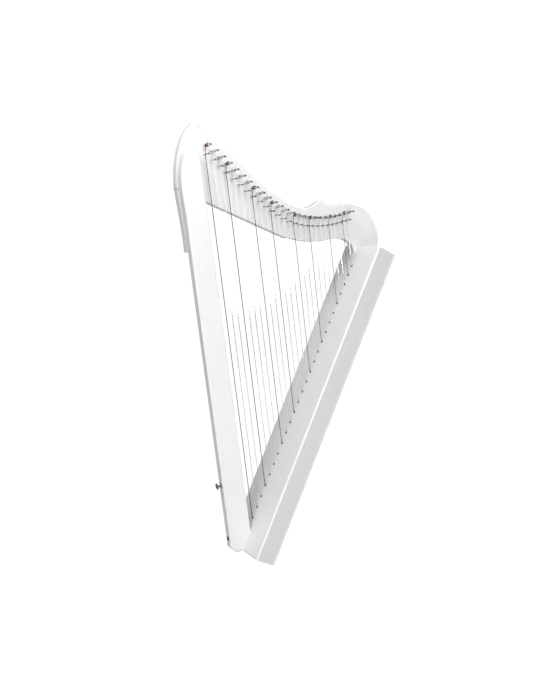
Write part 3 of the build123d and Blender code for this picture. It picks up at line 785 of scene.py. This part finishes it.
COUNTERSUNK = [
    (1.2 * MM, -33.0 * MM),
    (2.0 * MM, -31.5 * MM),
    (2.0 * MM, -2.6 * MM),
    (2.4 * MM, -2.2 * MM),
    (3.7 * MM, -0.7 * MM),
    (3.95 * MM, -0.35 * MM),
    (3.9 * MM, -0.12 * MM),
    (2.6 * MM, -0.02 * MM),
    (1.2 * MM, 0.0),
]
PAN_HEAD = [
    (1.4 * MM, -70.0 * MM),
    (2.5 * MM, -67.0 * MM),
    (2.5 * MM, -3.4 * MM),
    (4.2 * MM, -3.4 * MM),
    (4.3 * MM, -3.1 * MM),
    (4.3 * MM, -1.3 * MM),
    (4.0 * MM, -0.7 * MM),
    (3.2 * MM, -0.25 * MM),
    (1.8 * MM, 0.0),
]
BUTTON_SCREW = [
    (0.9 * MM, -33.0 * MM),
    (1.7 * MM, -31.0 * MM),
    (1.7 * MM, -1.7 * MM),
    (3.3 * MM, -0.15 * MM),
    (3.2 * MM, 0.0),
    (1.8 * MM, 0.25 * MM),
    (0.8 * MM, 0.3 * MM),
]
STRAP_BUTTON = [
    (1.75 * MM, 0.0),
    (5.0 * MM, 0.0),
    (5.05 * MM, 0.5 * MM),
    (4.8 * MM, 1.0 * MM),
    (4.2 * MM, 1.4 * MM),
    (3.4 * MM, 2.0 * MM),
    (3.05 * MM, 2.9 * MM),
    (3.0 * MM, 4.9 * MM),
    (3.1 * MM, 6.4 * MM),
    (3.7 * MM, 7.3 * MM),
    (5.4 * MM, 7.8 * MM),
    (6.5 * MM, 8.2 * MM),
    (6.95 * MM, 8.7 * MM),
    (6.95 * MM, 9.2 * MM),
    (6.5 * MM, 9.75 * MM),
    (5.2 * MM, 10.4 * MM),
    (3.9 * MM, 10.9 * MM),
    (3.4 * MM, 10.95 * MM),
    (1.75 * MM, 9.3 * MM),
]

for k, spot in enumerate(node_spots("lap_screws")):
    outer = Vector((spot.x, NECK_FAR, spot.z))
    build_screw(f"lap_screw_{k + 1}", outer, -TO_VIEWER, COUNTERSUNK, (2.1 * MM, 0.45 * MM, 1.6 * MM),
                screw_steel, ("lap_screws",) if k == 0 else ())
build_screw("foot_screw_pan", board_point(*FOOT_SCREW_AT) + box_out * 3.4 * MM, box_out, PAN_HEAD,
            (2.4 * MM, 0.5 * MM, 1.8 * MM), screw_steel, ("foot_screw",))

mounts = {mount["name"]: mount for mount in frame["record"]["mounts"]}
for place in ("front", "rear"):
    mount = mounts[f"strap_button_{place}"]
    outward = Vector(mount["axis"])
    seat = Vector(mount["pos_m"]) - outward * BUTTON_MIDDLE
    bm = bmesh.new()
    add_ring(bm, seat, outward, STRAP_BUTTON, 48)
    new_piece(f"button_body_{place}", finish_mesh(bm, f"button_body_{place}", radians(40)), [button_metal_painted_dark],
              replaced=(f"strap_button_{place}",))
    build_screw(f"button_screw_{place}", seat + outward * BUTTON_LENGTH, outward, BUTTON_SCREW,
                (1.9 * MM, 0.4 * MM, 1.5 * MM), button_metal_painted_dark,
                ("button_screws",) if place == "front" else ())

# ---------------------------------------------------------------- floor, light and camera
low, high = cad_box
LIGHT_SIDE = (-0.45, -0.5, 0.74)
AMBIENT = (0.20, 0.46)          # the world's light from its dark side and from its light side


def build_floor():
    """White to the camera and grey to the harp, as a lit sweep of paper far behind it would be."""
    material, tree, links = new_material("pale_floor")
    shader = tree["Principled BSDF"]
    mottle = noise_factor(tree, links, 3.0, 3.0)
    links.new(ramp(tree, links, mottle, (0.40, 0.40, 0.40), (0.44, 0.44, 0.44)), shader.inputs["Base Color"])
    shader.inputs["Roughness"].default_value = 0.9
    paper = tree.new("ShaderNodeEmission")
    paper.inputs["Strength"].default_value = 1.05
    path = tree.new("ShaderNodeLightPath")
    mix = tree.new("ShaderNodeMixShader")
    links.new(path.outputs["Is Camera Ray"], mix.inputs[0])
    links.new(shader.outputs["BSDF"], mix.inputs[1])
    links.new(paper.outputs["Emission"], mix.inputs[2])
    links.new(mix.outputs["Shader"], tree["Material Output"].inputs["Surface"])
    bm = bmesh.new()
    bmesh.ops.create_grid(bm, x_segments=1, y_segments=1, size=30.0)
    floor = bpy.data.objects.new("floor", finish_mesh(bm, "floor"))
    floor.location = (0, 0, low[2])
    floor.data.materials.append(material)
    bpy.context.scene.collection.objects.link(floor)


def build_world():
    """Soft light, stronger from the upper left in front, and white to the camera."""
    world = bpy.data.worlds.new("studio")
    world.use_nodes = True
    tree, links = world.node_tree.nodes, world.node_tree.links
    background = tree["Background"]
    background.inputs["Color"].default_value = (1, 1, 1, 1)
    place = tree.new("ShaderNodeTexCoord")
    lean = tree.new("ShaderNodeVectorMath")
    lean.operation = "DOT_PRODUCT"
    lean.inputs[1].default_value = LIGHT_SIDE
    links.new(place.outputs["Generated"], lean.inputs[0])
    height = tree.new("ShaderNodeMapRange")
    height.inputs["From Min"].default_value = -1.0
    height.inputs["From Max"].default_value = 1.0
    height.inputs["To Min"].default_value = AMBIENT[0]
    height.inputs["To Max"].default_value = AMBIENT[1]
    links.new(lean.outputs["Value"], height.inputs["Value"])
    path = tree.new("ShaderNodeLightPath")
    strength = tree.new("ShaderNodeMapRange")
    strength.inputs["To Max"].default_value = 1.05
    links.new(path.outputs["Is Camera Ray"], strength.inputs["Value"])
    links.new(height.outputs["Result"], strength.inputs["To Min"])
    links.new(strength.outputs["Result"], background.inputs["Strength"])
    bpy.context.scene.world = world


def area_light(name, place, target, size, power):
    data = bpy.data.lights.new(name, "AREA")
    data.shape = "DISK"
    data.size = size
    data.energy = power
    light = bpy.data.objects.new(name, data)
    light.location = place
    light.rotation_euler = (Vector(target) - Vector(place)).to_track_quat("-Z", "Y").to_euler()
    light.visible_camera = False
    bpy.context.scene.collection.objects.link(light)


def build_camera():
    data = bpy.data.cameras.new("camera")
    data.sensor_width = 36.0
    data.sensor_fit = "AUTO"
    data.lens = 43.71
    camera = bpy.data.objects.new("camera", data)
    camera.location = (-0.8073, -1.5716, 0.7010)
    camera.rotation_euler = (radians(90 - 8.234), 0, radians(-28.52))
    bpy.context.scene.collection.objects.link(camera)
    bpy.context.scene.camera = camera


build_floor()
build_world()
area_light("front_light", (0.1, -1.6, 1.1), (0.1, 0.0, 0.75), 0.9, 16.8)
area_light("top_light", (-0.9, -0.4, 1.9), (0.1, 0.0, 0.6), 0.6, 19.5)
area_light("foot_light", (-0.35, -0.9, 0.12), (0.0, 0.0, 0.1), 0.5, 3.0)
area_light("back_light", (0.9, 2.0, 0.75), (0.05, 0.0, 0.45), 0.9, 20.0)
build_camera()
bpy.context.scene.view_settings.view_transform = "Standard"
